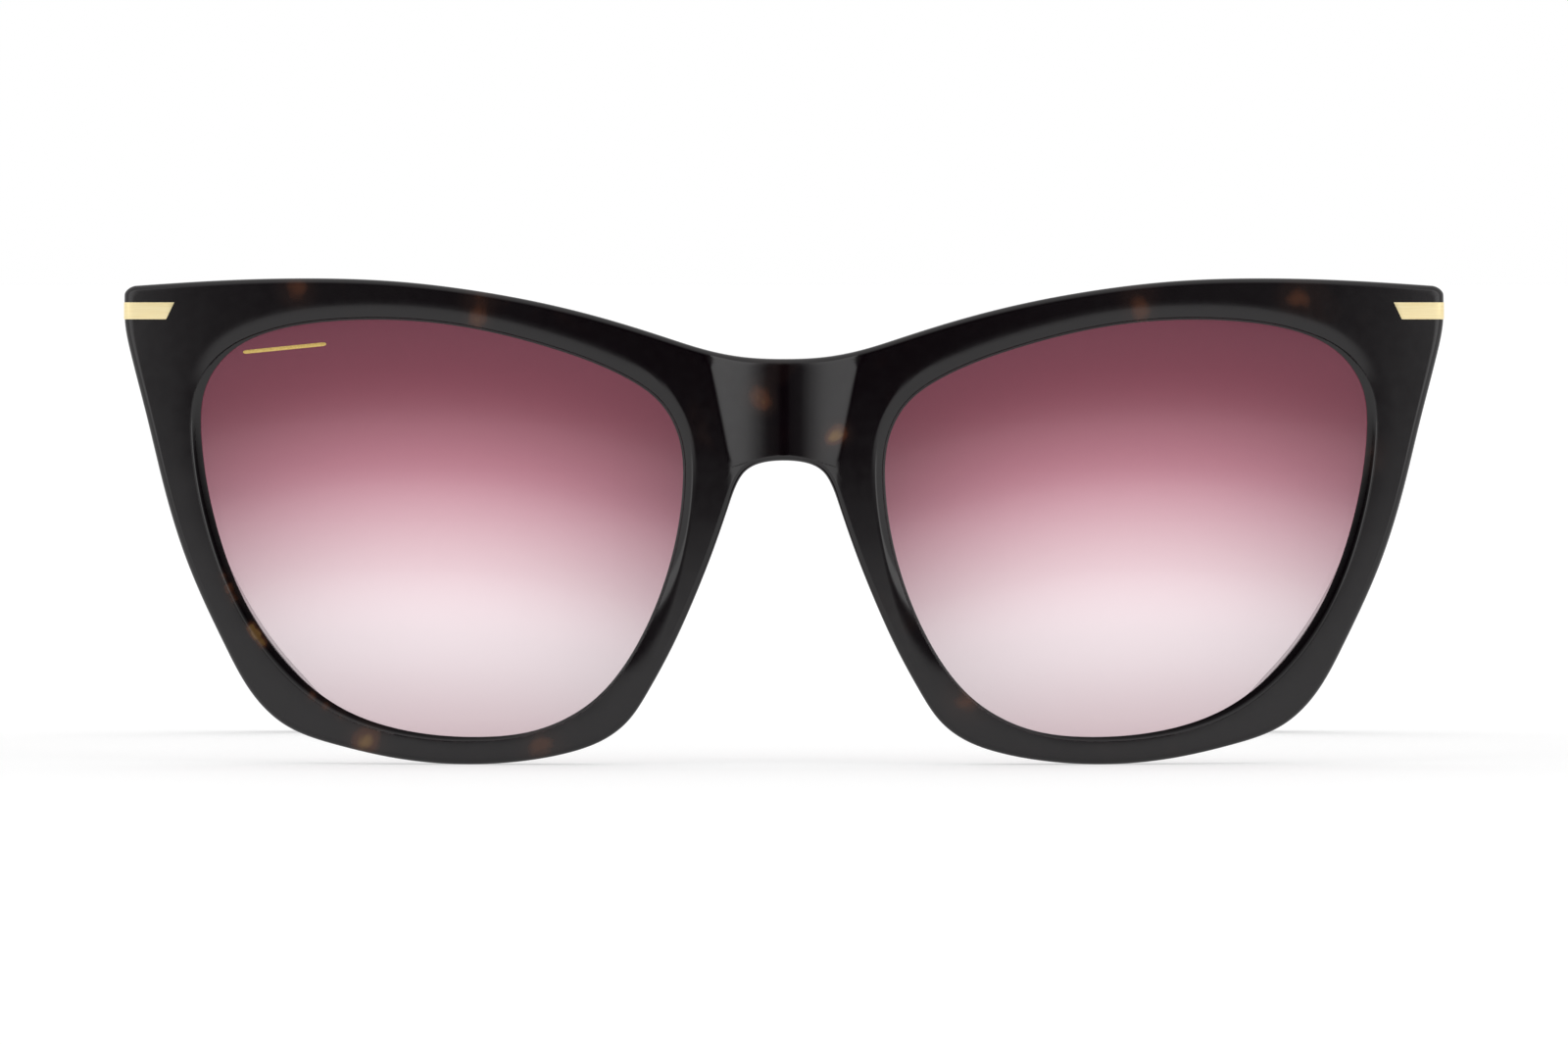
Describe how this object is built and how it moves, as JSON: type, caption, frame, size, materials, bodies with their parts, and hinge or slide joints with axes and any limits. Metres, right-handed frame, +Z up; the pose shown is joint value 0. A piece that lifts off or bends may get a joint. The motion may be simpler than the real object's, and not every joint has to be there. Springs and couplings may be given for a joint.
{
  "type": "cat eye sunglasses",
  "caption": "Cat eye sunglasses with a curved dark acetate front, tinted lenses, slim gold corner trims and folding bent-tip temples on small barrel hinges.",
  "frame": {"origin": "on the mirror plane, on the table that the open frame stands on, half way from the bridge to the temple tips", "axes": "+X to the wearer's left along the front, +Y back from the front to the ears, +Z up"},
  "size_m": [0.1422, 0.1479, 0.0522],
  "materials": {
    "dark_acetate": "polished, near-black brown tortoise",
    "tinted_lens": "gradient rose-brown tint, dark at the brow and nearly clear at the bottom",
    "gold_trim": "satin pale gold",
    "hinge_metal": "satin nickel",
    "core_wire": "drawn wire",
    "lens_print": "printed gold mark"
  },
  "bodies": {
    "front": {"front_frame": "dark_acetate", "left_lens": "tinted_lens", "right_lens": "tinted_lens", "left_nose_pad": "dark_acetate", "right_nose_pad": "dark_acetate", "left_corner_trim": "gold_trim", "right_corner_trim": "gold_trim", "left_front_hinge": "hinge_metal", "right_front_hinge": "hinge_metal", "left_hinge_screw": "hinge_metal", "right_hinge_screw": "hinge_metal"},
    "left_temple_body": {"left_temple": "dark_acetate", "left_temple_hinge": "hinge_metal", "left_temple_core": "core_wire"},
    "right_temple_body": {"right_temple": "dark_acetate", "right_temple_hinge": "hinge_metal", "right_temple_core": "core_wire"}
  },
  "joints": [
    {"name": "left_temple_fold", "type": "hinge", "parent": "front", "child": "left_temple_body", "pos_m": [0.06415, -0.05686, 0.04615], "axis": [0, 0, 1], "range_deg": [0, 88]},
    {"name": "right_temple_fold", "type": "hinge", "parent": "front", "child": "right_temple_body", "pos_m": [-0.06415, -0.05686, 0.04615], "axis": [0, 0, -1], "range_deg": [0, 80]}
  ]
}
